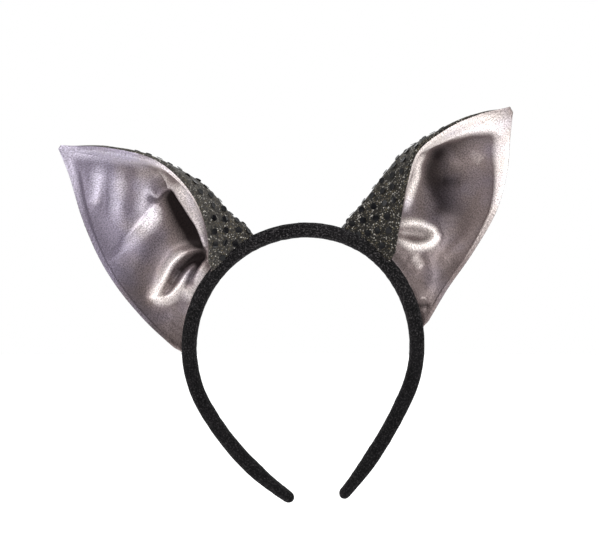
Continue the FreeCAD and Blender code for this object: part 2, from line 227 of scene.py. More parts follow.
def smooth(points, t):
    """A smooth curve through the points, read at shares t of their chord length."""
    p = np.array(points, float)
    marks = np.concatenate([[0.0], np.cumsum(np.linalg.norm(np.diff(p, axis=0), axis=1))])
    marks /= marks[-1]
    steps = np.diff(marks)
    slopes = np.diff(p, axis=0) / steps[:, None]
    weighted = slopes[:-1] * steps[1:, None] + slopes[1:] * steps[:-1, None]
    between = weighted / (steps[1:] + steps[:-1])[:, None]
    tangents = np.vstack([slopes[:1], between, slopes[-1:]])
    i = np.clip(np.searchsorted(marks, t, side="right") - 1, 0, len(steps) - 1)
    gap = steps[i]
    q = (t - marks[i]) / gap
    h0, h1 = 2 * q**3 - 3 * q**2 + 1, -2 * q**3 + 3 * q**2
    g0, g1 = (q**3 - 2 * q**2 + q) * gap, (q**3 - q**2) * gap
    return (h0[..., None] * p[i] + g0[..., None] * tangents[i]
            + h1[..., None] * p[i + 1] + g1[..., None] * tangents[i + 1])


# ---------------------------------------------------------------- the band's line
def arcs_of(side):
    """Each arc on one side as (start distance, length, radius, centre x, centre z, heading)."""
    heading = side * CROWN_HEADING
    x, z, start = 0.0, BAND_THICK / 2, 0.0
    found = []
    for radius, degrees in (RIGHT_ARCS if side > 0 else LEFT_ARCS):
        length = radius * math.radians(degrees)
        cx, cz = x + radius * math.sin(heading), z - radius * math.cos(heading)
        found.append((start, length, radius, cx, cz, heading))
        heading -= length / radius
        x, z = cx - radius * math.sin(heading), cz + radius * math.cos(heading)
        start += length
    return found


def band_frame(distance):
    """Centreline points and outward normals at signed distances from x = 0."""
    d = np.asarray(distance, float)
    point, normal = np.zeros(d.shape + (3,)), np.zeros(d.shape + (3,))
    for side in (-1, 1):
        mine = (d >= 0) if side > 0 else (d < 0)
        arcs = arcs_of(side)
        for k, (start, _, radius, cx, cz, heading) in enumerate(arcs):
            stop = math.inf if k == len(arcs) - 1 else arcs[k + 1][0]
            here = mine & (np.abs(d) >= start) & (np.abs(d) < stop)
            angle = heading - (np.abs(d[here]) - start) / radius
            nx, nz = -np.sin(angle), np.cos(angle)
            point[here, 0], point[here, 2] = side * (cx + radius * nx), cz + radius * nz
            normal[here, 0], normal[here, 2] = side * nx, nz
    return point, normal


def band_end(side):
    return side * sum(r * math.radians(a) for r, a in (RIGHT_ARCS if side > 0 else LEFT_ARCS))


def cover_height(y):
    """How far the cover's outer surface stands from the band's centreline at y."""
    flat = BAND_DEPTH / 2 - BAND_CORNER
    past = np.clip(np.abs(y) - flat, 0, BAND_CORNER * 0.999)
    return BAND_THICK / 2 - BAND_CORNER + np.sqrt(BAND_CORNER**2 - past**2)


# ---------------------------------------------------------------- the ear's surface
def hairpin(ear, v):
    """Where on the band the ear's base is, and how far behind or in front of its middle."""
    back = ear["outer_foot"] - ear["fold_foot"] - HAIRPIN
    front = ear["inner_foot"] - ear["fold_foot"] - HAIRPIN
    turn = math.pi * HAIRPIN
    s = v * (back + turn + front)
    angle = np.clip((s - back) / HAIRPIN, 0, math.pi)
    place = np.where(
        s < back, ear["outer_foot"] - s,
        np.where(s < back + turn, ear["fold_foot"] + HAIRPIN - HAIRPIN * np.sin(angle),
                 ear["fold_foot"] + HAIRPIN + s - back - turn))
    return place, HAIRPIN * np.cos(angle)


def ear_middle(ear, u, v):
    """The middle of the ear's thickness: u from base to tip, v from outer to inner edge."""
    side = ear["side"]
    lift = BAND_THICK / 2

    def foot_of(place):
        point, normal = band_frame(side * np.asarray(place, float))
        return point + normal * lift

    place, y = hairpin(ear, v)
    foot = foot_of(place)
    outer_foot, inner_foot = foot_of([ear["outer_foot"]])[0], foot_of([ear["inner_foot"]])[0]
    outer = smooth([(outer_foot[0], outer_foot[2])] + ear["outer"], u)
    inner = smooth([(inner_foot[0], inner_foot[2])] + ear["inner"], u)
    curl = (1 - u) ** ear["fold_decay"] * (1 - ear["tuck"] * bell(u - 0.19, 0.13))
    x = (1 - v) * outer[..., 0] + v * inner[..., 0]
    z = (1 - v) * outer[..., 1] + v * inner[..., 1]
    x += curl * (foot[..., 0] - (1 - v) * outer_foot[0] - v * inner_foot[0])
    z += curl * (foot[..., 2] - (1 - v) * outer_foot[2] - v * inner_foot[2])
    cup = ear["cup"] * np.sin(math.pi * u**CUP_PEAK) * (1 - u**TIP_FLATTEN)
    profile = np.sin(CUP_TURNS * math.pi * v) - CUP_LEAN * (1 - v)
    return np.stack([x, (1 - u) * y + cup * profile, z], axis=-1)


def normals_of(grid, side):
    """Unit normals on the satin side of a grid of points, rows along u and columns along v."""
    along = np.gradient(grid, axis=0)
    across = np.gradient(grid, axis=1)
    normal = np.cross(across, along) if side < 0 else np.cross(along, across)
    return normal / np.maximum(np.linalg.norm(normal, axis=-1, keepdims=True), 1e-9)


def distances(grid, axis):
    """Running distance along one axis of a grid of points, from 0."""
    steps = np.linalg.norm(np.diff(grid, axis=axis), axis=-1)
    pad = [(0, 0), (0, 0)]
    pad[axis] = (1, 0)
    return np.cumsum(np.pad(steps, pad), axis=axis)


def edge_distances(middle):
    """Distances over the ear from its outer edge, inner edge and tip, and the least of the three."""
    across, along = distances(middle, 1), distances(middle, 0)
    outer, inner, tip = across, across[:, -1:] - across, along[-1:] - along
    return outer, inner, tip, np.minimum(np.minimum(outer, inner), tip)


def path_profile(x, z, path, left, right):
    """A bump along a line of points seen from the front, fading out at both of its ends."""
    points = smooth(path, np.linspace(0, 1, 40)) if len(path) > 2 else np.array(path, float)
    marks = np.concatenate([[0.0], np.cumsum(np.linalg.norm(np.diff(points, axis=0), axis=1))])
    best = np.full(x.shape, np.inf)
    where, side = np.zeros(x.shape), np.zeros(x.shape)
    for k in range(len(points) - 1):
        a, b = points[k], points[k + 1]
        ab = b - a
        t = np.clip(((x - a[0]) * ab[0] + (z - a[1]) * ab[1]) / (ab @ ab), 0, 1)
        dx, dz = x - a[0] - t * ab[0], z - a[1] - t * ab[1]
        d = np.hypot(dx, dz)
        closer = d < best
        best = np.where(closer, d, best)
        side = np.where(closer, ab[0] * dz - ab[1] * dx, side)
        where = np.where(closer, marks[k] + t * (marks[k + 1] - marks[k]), where)
    share = where / marks[-1]
    ends = smoothstep(share, -0.15, 0.15) * (1 - smoothstep(share, 0.85, 1.15))
    return bell(best, np.where(side > 0, left, right)) * ends


# ---------------------------------------------------------------- meshes
def mesh_object(name, vertices, faces, uvs=None):
    """A mesh object from millimetre vertices; uvs hold one pair for each vertex."""
    mesh = bpy.data.meshes.new(name)
    mesh.from_pydata((np.asarray(vertices) * MM).tolist(), [], faces)
    mesh.polygons.foreach_set("use_smooth", [True] * len(mesh.polygons))
    if uvs is not None:
        layer = mesh.uv_layers.new(name="cloth")
        corner = np.zeros(len(mesh.loops), np.int32)
        mesh.loops.foreach_get("vertex_index", corner)
        layer.data.foreach_set("uv", np.asarray(uvs, np.float32)[corner].ravel())
    mesh.update()
    made = bpy.data.objects.new(name, mesh)
    bpy.context.scene.collection.objects.link(made)
    return made


def grid_faces(rows, columns, closed=False, flip=False):
    """Quads over a grid of rows x columns vertices; closed joins the last column to the first."""
    last = columns if closed else columns - 1
    i, j = np.meshgrid(np.arange(rows - 1), np.arange(last), indexing="ij")
    here, k = i * columns, (j + 1) % columns
    above = here + columns
    quads = np.stack([here + j, here + k, above + k, above + j], axis=-1).reshape(-1, 4)
    return (quads[:, ::-1] if flip else quads).tolist()


def add_material(piece, material):
    """Gives a whole piece one material."""
    piece.data.materials.append(material)


# ---------------------------------------------------------------- materials
def new_material(name):
    material = bpy.data.materials.new(name)
    material.use_nodes = True
    nodes = material.node_tree.nodes
    return material, nodes, material.node_tree.links, nodes["Principled BSDF"]


def add_noise(nodes, links, coordinates, scale, detail=2.0, roughness=0.5):
    noise = nodes.new("ShaderNodeTexNoise")
    noise.inputs["Scale"].default_value = scale
    noise.inputs["Detail"].default_value = detail
    noise.inputs["Roughness"].default_value = roughness
    links.new(coordinates, noise.inputs["Vector"])
    return noise.outputs["Fac"]


def add_ramp(nodes, links, value, stops):
    ramp = nodes.new("ShaderNodeValToRGB")
    while len(ramp.color_ramp.elements) < len(stops):
        ramp.color_ramp.elements.new(0.5)
    for element, (place, colour) in zip(ramp.color_ramp.elements, stops):
        element.position = place
        element.color = (*colour, 1.0)
    links.new(value, ramp.inputs["Fac"])
    return ramp.outputs["Color"]


def add_mix(nodes, links, share, first, second, kind="MIX"):
    mix = nodes.new("ShaderNodeMix")
    mix.data_type = "RGBA"
    mix.blend_type = kind
    for key, value in (("Factor", share), ("A", first), ("B", second)):
        socket = mix.inputs[key]
        if isinstance(value, bpy.types.NodeSocket):
            links.new(value, socket)
        elif isinstance(value, tuple):
            socket.default_value = (*value, 1.0)
        else:
            socket.default_value = value
    return mix.outputs["Result"]


def add_math(nodes, links, kind, first, second=0.0):
    node = nodes.new("ShaderNodeMath")
    node.operation = kind
    for socket, value in zip(node.inputs, (first, second)):
        if isinstance(value, bpy.types.NodeSocket):
            links.new(value, socket)
        else:
            socket.default_value = value
    return node.outputs["Value"]


def add_bump(nodes, links, height, strength, distance, onto=None):
    bump = nodes.new("ShaderNodeBump")
    bump.inputs["Strength"].default_value = strength
    bump.inputs["Distance"].default_value = distance
    links.new(height, bump.inputs["Height"])
    if onto is not None:
        links.new(onto, bump.inputs["Normal"])
    return bump.outputs["Normal"]


def coordinates(nodes, kind):
    return nodes.new("ShaderNodeTexCoord").outputs[kind]


def stretched(nodes, links, vector, scale):
    mapping = nodes.new("ShaderNodeMapping")
    mapping.inputs["Scale"].default_value = scale
    links.new(vector, mapping.inputs["Vector"])
    return mapping.outputs["Vector"]


def satin_material():
    """Satin: glossy floats over a mauve grey ground, with painted highlights on the folds and painted shade
    in the hollows.
    """
    material, nodes, links, shader = new_material("satin")
    place = coordinates(nodes, "Object")
    cloth = coordinates(nodes, "UV")
    tone = nodes.new("ShaderNodeAttribute")
    tone.attribute_name = "shade"
    # Towards the left ear the satin is painted lilac, a painted reflection of cool light from the left; the
    # noise adds lilac patches at random as well.
    painted_lilac_reflection = rise_along(nodes, links, place, "X", -0.07, -0.105, 0.5)
    patches_and_painted_reflection = add_math(nodes, links, "ADD", add_noise(nodes, links, place, 45.0, 2.0), painted_lilac_reflection)
    ground = add_ramp(nodes, links, patches_and_painted_reflection, [(0.5, (0.165, 0.128, 0.124)), (0.95, (0.165, 0.143, 0.190))])
    # Painted highlights mix in the light colour and painted shade mixes in near black, as much as the shade
    # attribute says; in the painted shade the specular reflection is dimmed too.
    light = add_ramp(nodes, links, patches_and_painted_reflection, [(0.5, (0.95, 0.87, 0.83)), (0.95, (0.84, 0.79, 0.93))])
    painted_highlight = add_math(nodes, links, "MAXIMUM", tone.outputs["Fac"], 0.0)
    negative = add_math(nodes, links, "MULTIPLY", tone.outputs["Fac"], -1.0)
    painted_shade = add_math(nodes, links, "MAXIMUM", negative, 0.0)
    colour = add_mix(nodes, links, painted_highlight, ground, light)
    colour = add_mix(nodes, links, painted_shade, colour, (0.009, 0.006, 0.006))
    specular_dimmed_in_painted_shade = add_math(nodes, links, "SUBTRACT", 0.5, add_math(nodes, links, "MULTIPLY", painted_shade, 0.45))
    links.new(specular_dimmed_in_painted_shade, shader.inputs["Specular IOR Level"])
    yarn = add_noise(nodes, links, stretched(nodes, links, cloth, (1500.0, 1100.0, 1.0)), 1.0, 2.0)
    grain = add_ramp(nodes, links, yarn, [(0.36, (0.5, 0.48, 0.48)), (0.64, (1.5, 1.5, 1.5))])
    links.new(add_mix(nodes, links, 0.8, colour, grain, "MULTIPLY"), shader.inputs["Base Color"])
    shader.inputs["Metallic"].default_value = 0.35
    shader.inputs["Roughness"].default_value = 0.45
    shader.inputs["Anisotropic"].default_value = 0.4
    shader.inputs["Sheen Weight"].default_value = 0.05
    shader.inputs["Sheen Roughness"].default_value = 0.4
    slub = add_noise(nodes, links, stretched(nodes, links, cloth, (900.0, 60.0, 1.0)), 1.0, 2.0)
    normal = add_bump(nodes, links, yarn, 0.25, 0.00012)
    normal = add_bump(nodes, links, slub, 0.12, 0.0002, normal)
    links.new(normal, shader.inputs["Normal"])
    tangent = nodes.new("ShaderNodeTangent")
    tangent.direction_type = "UV_MAP"
    tangent.uv_map = "cloth"
    links.new(tangent.outputs["Tangent"], shader.inputs["Tangent"])
    return material


def rise_along(nodes, links, place, axis, start, stop, most):
    """Rises from 0 to most as the place along one axis goes from start to stop, in metres."""
    split = nodes.new("ShaderNodeSeparateXYZ")
    links.new(place, split.inputs["Vector"])
    spread = nodes.new("ShaderNodeMapRange")
    for socket, value in zip(spread.inputs[1:5], (start, stop, 0.0, most)):
        socket.default_value = value
    links.new(split.outputs[axis], spread.inputs["Value"])
    return spread.outputs["Result"]


def sequin_cloth_material():
    """Charcoal knit with glitter yarn: small bright flakes in a dark, slightly olive ground that is painted
    lighter on the left ear, as painted light.
    """
    material, nodes, links, shader = new_material("sequin_cloth")
    place = coordinates(nodes, "Object")
    flakes = nodes.new("ShaderNodeTexVoronoi")
    flakes.inputs["Scale"].default_value = 1900.0
    links.new(place, flakes.inputs["Vector"])
    split = nodes.new("ShaderNodeSeparateColor")
    links.new(flakes.outputs["Color"], split.inputs["Color"])
    yarn = add_noise(nodes, links, place, 900.0, 3.0)
    dark = add_ramp(nodes, links, yarn, [(0.35, (0.0025, 0.0022, 0.0017)), (0.65, (0.010, 0.0082, 0.006))])
    pale = add_ramp(nodes, links, yarn, [(0.35, (0.012, 0.011, 0.0098)), (0.65, (0.046, 0.042, 0.038))])
    # Painted light: the ground is mixed from dark to pale towards the left ear, which takes more of the
    # light.
    ground = add_mix(nodes, links, rise_along(nodes, links, place, "X", -0.02, -0.045, 1.0), dark, pale)
    bright = add_ramp(nodes, links, split.outputs["Red"], [(0.72, (0, 0, 0)), (0.92, (1, 1, 1))])
    tint = add_ramp(nodes, links, split.outputs["Green"], [
        (0.2, (0.08, 0.066, 0.04)), (0.6, (0.10, 0.09, 0.075)), (0.95, (0.42, 0.40, 0.37))])
    links.new(add_mix(nodes, links, bright, ground, tint), shader.inputs["Base Color"])
    links.new(add_math(nodes, links, "MULTIPLY", bright, 0.7), shader.inputs["Metallic"])
    shader.inputs["Roughness"].default_value = 0.5
    shader.inputs["Specular IOR Level"].default_value = 0.15
    normal = add_bump(nodes, links, flakes.outputs["Distance"], 0.5, 0.0004)
    normal = add_bump(nodes, links, split.outputs["Blue"], 0.6, 0.00015, normal)
    links.new(normal, shader.inputs["Normal"])
    return material


def sequin_material():
    """Black plastic film: glossy, with faint scratches."""
    material, nodes, links, shader = new_material("sequin")
    place = coordinates(nodes, "Object")
    shade = add_noise(nodes, links, place, 160.0, 1.0)
    links.new(add_ramp(nodes, links, shade, [(0.4, (0.0015, 0.0015, 0.002)), (0.6, (0.005, 0.005, 0.006))]),
              shader.inputs["Base Color"])
    shader.inputs["Roughness"].default_value = 0.09
    shader.inputs["Specular IOR Level"].default_value = 0.16
    shader.inputs["Coat Weight"].default_value = 0.03
    shader.inputs["Coat Roughness"].default_value = 0.04
    links.new(add_bump(nodes, links, add_noise(nodes, links, place, 700.0, 2.0), 0.12, 0.0001),
              shader.inputs["Normal"])
    return material


def knit_material():
    """Fine black knit: rows of small loops along the band, with grey fuzz, and painted light that makes the
    fuzz show more towards the crown.
    """
    material, nodes, links, shader = new_material("knit")
    cloth = coordinates(nodes, "UV")
    place = coordinates(nodes, "Object")
    wales = nodes.new("ShaderNodeTexWave")
    wales.wave_type = "BANDS"
    wales.bands_direction = "X"
    wales.inputs["Scale"].default_value = 1.0
    wales.inputs["Distortion"].default_value = 1.2
    wales.inputs["Detail"].default_value = 1.0
    links.new(stretched(nodes, links, cloth, (620.0, 620.0, 1.0)), wales.inputs["Vector"])
    courses = nodes.new("ShaderNodeTexWave")
    courses.wave_type = "BANDS"
    courses.bands_direction = "Y"
    courses.inputs["Scale"].default_value = 1.0
    courses.inputs["Distortion"].default_value = 1.0
    links.new(stretched(nodes, links, cloth, (480.0, 480.0, 1.0)), courses.inputs["Vector"])
    loops = add_math(nodes, links, "MULTIPLY", wales.outputs["Fac"], courses.outputs["Fac"])
    fuzz = add_noise(nodes, links, place, 1100.0, 3.0, 0.75)
    worn = add_noise(nodes, links, place, 70.0, 2.0)
    ground = add_ramp(nodes, links, worn, [
        (0.35, (0.0014, 0.0014, 0.0016)), (0.7, (0.004, 0.0037, 0.0042))])
    # Painted light: the grey fuzz shows more the higher it is on the band, so the crown is lighter than the
    # arms.
    fuzz_with_painted_crown_light = add_math(nodes, links, "ADD", rise_along(nodes, links, place, "Z", -0.07, -0.01, 0.5), 0.4)
    strands = add_ramp(nodes, links, fuzz, [(0.51, (0, 0, 0)), (0.72, (0.85, 0.85, 0.85))])
    shown = add_math(nodes, links, "MULTIPLY", strands, fuzz_with_painted_crown_light)
    links.new(add_mix(nodes, links, shown, ground, (0.105, 0.097, 0.1)), shader.inputs["Base Color"])
    shader.inputs["Roughness"].default_value = 0.82
    shader.inputs["Specular IOR Level"].default_value = 0.06
    shader.inputs["Sheen Weight"].default_value = 0.04
    shader.inputs["Sheen Roughness"].default_value = 0.5
    shader.inputs["Sheen Tint"].default_value = (0.45, 0.43, 0.45, 1.0)
    normal = add_bump(nodes, links, loops, 0.8, 0.00025)
    normal = add_bump(nodes, links, fuzz, 0.35, 0.0002, normal)
    links.new(normal, shader.inputs["Normal"])
    return material


def plain_material(name, colour, roughness, scale, depth):
    """Plastic or thread: one colour with a little variation and grain."""
    material, nodes, links, shader = new_material(name)
    place = coordinates(nodes, "Object")
    tone = add_noise(nodes, links, place, scale, 3.0)
    darker = tuple(c * 0.7 for c in colour)
    links.new(add_ramp(nodes, links, tone, [(0.35, darker), (0.65, colour)]), shader.inputs["Base Color"])
    shader.inputs["Roughness"].default_value = roughness
    links.new(add_bump(nodes, links, tone, 0.4, depth), shader.inputs["Normal"])
    return material


# ---------------------------------------------------------------- the band's cover
def section(half_thick, half_depth, corner, count):
    """Points (across, depth) round a rounded rectangle, one row of them for each size given."""
    corners = [(1, 1), (-1, 1), (-1, -1), (1, -1)]
    quarter = count // 4
    turn = np.linspace(0, math.pi / 2, quarter // 2, endpoint=False)
    share = np.linspace(0, 1, quarter - quarter // 2 + 1)[1:]
    radius = corner[:, None]

    def arc(k, angle):
        a, d = corners[k % 4]
        return ((half_thick - corner)[:, None] * a + radius * np.cos(angle),
                (half_depth - corner)[:, None] * d + radius * np.sin(angle))

    rows = []
    for k in range(4):
        angle = turn + k * math.pi / 2
        bend = arc(k, angle)
        following = arc(k + 1, np.array([(k + 1) * math.pi / 2]))
        straight = [b[:, -1:] + (f - b[:, -1:]) * share for b, f in zip(bend, following)]
        rows += [bend, straight]
    return np.hstack([r[0] for r in rows]), np.hstack([r[1] for r in rows])


def cover_mesh(name, side, material):
    """One half of the knitted cover, from the middle of the crown to its tip."""
    start, end = COVER_MEETS, band_end(side)
    half = BAND_THICK / 2
    run = np.linspace(0, abs(end - start), COVER_ROWS)
    cap = half * np.sin(np.linspace(0, math.pi / 2, CAP_ROWS)[1:])
    along = np.concatenate([run, run[-1] + cap])
    place = start + side * along
    inside = np.clip(place, min(start, end), max(start, end))
    point, normal = band_frame(inside)
    ahead = np.stack([normal[:, 2] * side, np.zeros(len(place)), -normal[:, 0] * side], axis=-1)
    past = np.abs(place - inside)
    point = point + ahead * past[:, None]
    shrink = np.sqrt(np.clip(1 - (past / half) ** 2, 1e-4, 1))
    half_depth = BAND_DEPTH / 2 - BAND_CORNER * (1 - shrink)
    across, depth = section(half * shrink, half_depth, BAND_CORNER * shrink, COVER_SIDES)
    out = np.stack([across * normal[:, None, 0], depth, across * normal[:, None, 2]], axis=-1)
    grid = point[:, None, :] + out
    outward = out / np.maximum(np.linalg.norm(out, axis=-1, keepdims=True), 1e-6)
    swell = cover_relief(grid, across, depth, np.abs(place), abs(end), side) * shrink[:, None]
    narrowest = abs(end) + 2
    taper = TIP_TAPER * smoothstep(np.abs(place), narrowest - TAPER_RUN, narrowest)
    swell -= taper[:, None] * np.abs(across)
    grid = grid + outward * swell[..., None]
    girth = distances(np.concatenate([grid, grid[:, :1]], axis=1), 1)[:, :-1]
    uvs = np.stack([girth, np.broadcast_to(along[:, None], girth.shape)], axis=-1) * MM
    faces = grid_faces(len(along), COVER_SIDES, closed=True, flip=side > 0)
    piece = mesh_object(name, grid.reshape(-1, 3), faces, uvs.reshape(-1, 2))
    add_material(piece, material)
    return piece


def cover_relief(grid, across, depth, along, end, side):
    """How far the cover stands off its plain section: lumps, pulls and the seam inside."""
    seed = 3 if side > 0 else 4
    lumps = 0.13 * ripple(grid, 16.0, seed) + 0.07 * ripple(grid, 5.5, seed + 10)
    inside = across < 0
    seam = np.where(inside, bell(depth, 0.35), 0) * -0.30
    lips = np.where(inside, bell(np.abs(depth) - 0.9, 0.45), 0) * 0.14
    stretch = np.stack([along[:, None] + 0.35 * depth, 0.15 * across], axis=-1)
    tip = smoothstep(along, end - 22, end - 4)[:, None]
    angle = np.arctan2(across, depth)
    gathers = 0.16 * np.sin(9 * angle + 0.8 * np.sin(along[:, None] * 0.2)) * tip
    pulls = 0.07 * ripple(stretch, 3.2, seed + 20) * (0.4 + 0.6 * (across < 0.5))
    return COVER_SWELL + lumps + seam + lips + gathers + pulls


# ---------------------------------------------------------------- the ears' cloth
def ear_grid(ear):
    """Rows of u from base to tip, columns of v from outer to inner edge, and the points there."""
    u = np.linspace(0, 1, GRID_U) ** 0.97
    v = np.linspace(0, 1, GRID_V)
    share, across = np.meshgrid(u, v, indexing="ij")
    return share, across, ear_middle(ear, share, across)


def rounded_edge(near, width):
    """From 0 at an edge to 1 at a distance of width, as a quarter circle."""
    return np.sqrt(np.clip(1 - (1 - np.clip(near / width, 0, 1)) ** 2, 0, 1))


def seat_on_band(ear, grid, u, v):
    """Brings the ear's lowest rows down onto the band's cover."""
    place, _ = hairpin(ear, v)
    point, outward = band_frame(ear["side"] * place)
    lift = np.sum((grid - point) * outward, axis=-1)
    target = cover_height(np.clip(grid[..., 1], -BAND_DEPTH / 2, BAND_DEPTH / 2)) - BASE_SINK
    pull = (1 - smoothstep(u, 0.0, 0.05)) * (target - lift)
    return grid + outward * pull[..., None]


def base_squeeze(u):
    """The layers are stitched flat together at the base and fill out above it."""
    return 0.35 + 0.65 * smoothstep(u, 0.0, 0.09)


def satin_rims(name, ear, u, outer, inner, tip, near):
    """Height, and painted light and shade, of the padded rims and of the hollow between them."""
    marks, rim_in, rim_out, tone_in, tone_out, tone_deep = np.array(RIMS[name]).T
    share_in = inner / np.interp(u, marks, rim_in)
    share_out = outer / np.interp(u, marks, rim_out)
    flat_in, flat_out = smoothstep(share_in, 0.62, 1.5), smoothstep(share_out, 0.6, 1.6)
    fill = smoothstep(u, 0.02, 0.2) * smoothstep(tip, 1.0, 14.0)
    rims = RIM_IN * (1 - flat_in) + RIM_OUT * (1 - flat_out) * flat_in
    rims += ear["rim_roll"] * smoothstep(share_in, 0.0, 0.85) * (1 - smoothstep(share_in, 0.85, 1.45))
    relief = (rims * rounded_edge(near, EDGE_ROUND) - HOLLOW * flat_in * flat_out) * fill
    shade = (1 - flat_in) * np.interp(u, marks, tone_in) + flat_in * (
        (1 - flat_out) * np.interp(u, marks, tone_out) + flat_out * np.interp(u, marks, tone_deep))
    # Painted shade beside the inner rim, then a painted dark line along the inner edge that dims the light
    # on its rounded edge.
    shade -= ear["rim_shadow"] * bell(share_in - 1.35, 0.35) * fill
    shade -= 0.45 * bell(inner, 1.1) * fill
    return relief, shade


def satin_grid(name, ear):
    """The satin's points, and the painted light and shade at each of them."""
    u, v, middle = ear_grid(ear)
    normal = normals_of(middle, ear["side"])
    outer, inner, tip, near = edge_distances(middle)
    relief, shade = satin_rims(name, ear, u, outer, inner, tip, near)
    hold = rounded_edge(near, EDGE_ROUND) * smoothstep(u, 0.0, 0.06)
    # A fold shows only on cloth that faces the front, not on the leg of the hairpin behind it.
    facing = smoothstep(-normal[..., 1], -0.1, 0.35)
    for path, left, right, height, tone in FOLDS[name]:
        bump = path_profile(middle[..., 0], middle[..., 2], path, left, right) * facing
        relief += height * bump * hold
        # Each fold's tone paints light on the satin above 0 and shade below 0.
        shade += tone * bump
    seed = 31 if name == "left" else 47
    relief += hold * (0.30 * ripple(middle, 30.0, seed) + 0.05 * ripple(middle, 11.0, seed + 1))
    relief += 0.07 * base_gathers(v, u, seed) * rounded_edge(near, 1.5)
    relief += stitch_puckers(middle) * 0.16
    body = SATIN_OFFSET * rounded_edge(near, 1.5) * base_squeeze(u)
    offset = soft_floor(body + relief, DEEPEST * rounded_edge(near, 1.5))
    inward = smoothstep(near, 0.0, 0.6)
    offset = np.where(near < 0.02, body, offset * inward + body * (1 - inward))
    return seat_on_band(ear, middle + normal * offset[..., None], u, v), shade


def soft_floor(height, floor):
    """The height where it is well above the floor, levelling out towards the floor below that."""
    sharpness = 2.2
    return floor + np.logaddexp(0, (height - floor) * sharpness) / sharpness


def base_gathers(v, u, seed):
    """Small pleats that run up from the stitched base."""
    points = np.stack([v * 110.0, u * 14.0], axis=-1)
    return ripple(points, 4.5, seed + 5) * (1 - smoothstep(u, 0.02, 0.2)) * 2.2


def stitch_puckers(middle):
    """The pull of each machine stitch along the two long edges."""
    outer, inner, _, _ = edge_distances(middle)
    beat = 0.5 + 0.5 * np.cos(distances(middle, 0) * 2 * math.pi / STITCH_PITCH)
    return -bell(np.minimum(outer, inner) - 0.9, 0.8) * beat


def cloth_grid(name, ear):
    """The sequin cloth's points, behind the satin."""
    u, v, middle = ear_grid(ear)
    normal = normals_of(middle, ear["side"])
    outer, _, _, near = edge_distances(middle)
    seed = 61 if name == "left" else 77
    hold = rounded_edge(near, EDGE_ROUND)
    edge = np.minimum(rounded_edge(near, 1.8), rounded_edge(outer, 6.0))
    offset = CLOTH_OFFSET * edge * base_squeeze(u)
    offset = offset + hold * (0.25 * ripple(middle, 30.0, seed) + 0.08 * ripple(middle, 7.0, seed + 1))
    offset = offset + 0.13 * base_gathers(v, u, seed) * hold
    offset = offset + stitch_puckers(middle) * 0.14
    grid = middle - normal * offset[..., None]
    return seat_on_band(ear, grid, u, v)


def cloth_uvs(grid):
    """Each point's distance across and along the cloth, in metres."""
    across = distances(grid, 1)
    across = across - across[:, [int(ROW_MIDDLE * GRID_V)]]
    along = distances(grid, 0)[:, int(ROW_MIDDLE * GRID_V)]
    return np.stack([across, np.broadcast_to(along[:, None], across.shape)], axis=-1) * MM


def sheet_object(name, grid, flip, material):
    faces = grid_faces(*grid.shape[:2], flip=flip)
    piece = mesh_object(name, grid.reshape(-1, 3), faces, cloth_uvs(grid).reshape(-1, 2))
    add_material(piece, material)
    return piece


# ---------------------------------------------------------------- sequins
def lattice_places(ear, grid):
    """Rows and columns, as shares of the grid, of a square lattice laid on the cloth."""
    middle = int(ROW_MIDDLE * GRID_V)
    along = distances(grid, 0)[:, middle]
    across = distances(grid, 1)
    turn = ear["lattice"]
    length = along[-1]
    reach = int(2 * length / SEQUIN_STEP)
    found = []
    for i in range(-reach, reach + 1):
        for j in range(-reach, reach + 1):
            a, b = i * SEQUIN_STEP, j * SEQUIN_ROW
            p = length / 2 + a * math.sin(turn) + b * math.cos(turn)
            q = a * math.cos(turn) - b * math.sin(turn)
            if not END_MARGIN * length < p < (1 - END_MARGIN) * length:
                continue
            row = np.interp(p, along, np.arange(GRID_U))
            line = across[int(round(row))]
            target = line[middle] + q
            if EDGE_MARGIN < target < line[-1] - EDGE_MARGIN:
                found.append((row, np.interp(target, line, np.arange(GRID_V))))
    return found


def at_grid(grid, row, column):
    """The value between a grid's points, at a row and column that needn't be whole."""
    i, j = min(int(row), GRID_U - 2), min(int(column), GRID_V - 2)
    a, b = row - i, column - j
    return ((1 - a) * ((1 - b) * grid[i, j] + b * grid[i, j + 1])
            + a * ((1 - b) * grid[i + 1, j] + b * grid[i + 1, j + 1]))


def sequin_mesh(name, ear, grid, material):
    """Flat discs with a pressed rim, each lying on the cloth at its own slight tilt."""
    # From the middle of the top out over the rim and under it: share of the radius, height in mm.
    rings = [(0.0, 0.16), (0.55, 0.17), (0.86, 0.20), (0.97, 0.22), (1.0, 0.14), (1.0, 0.02), (0.9, 0.0)]
    sides = 28
    turn = np.linspace(0, 2 * math.pi, sides, endpoint=False)
    random = np.random.default_rng(5 if ear["side"] < 0 else 6)
    outward = -normals_of(grid, ear["side"])
    vertices, faces = [], []
    for row, column in lattice_places(ear, grid):
        centre = at_grid(grid, row, column)
        up = at_grid(outward, row, column) + random.normal(scale=SEQUIN_TILT, size=3)
        up /= np.linalg.norm(up)
        side = np.cross(up, [0.3, 0.1, 1.0])
        side /= np.linalg.norm(side)
        other = np.cross(up, side)
        base = len(vertices)
        for radius, height in rings:
            for t in turn:
                spread = SEQUIN_R * radius * (math.cos(t) * side + math.sin(t) * other)
                vertices.append(centre + spread + up * (SEQUIN_LIFT + height))
        faces += [[base + f for f in quad] for quad in grid_faces(len(rings), sides, closed=True)]
    piece = mesh_object(name, vertices, faces)
    add_material(piece, material)
    return piece


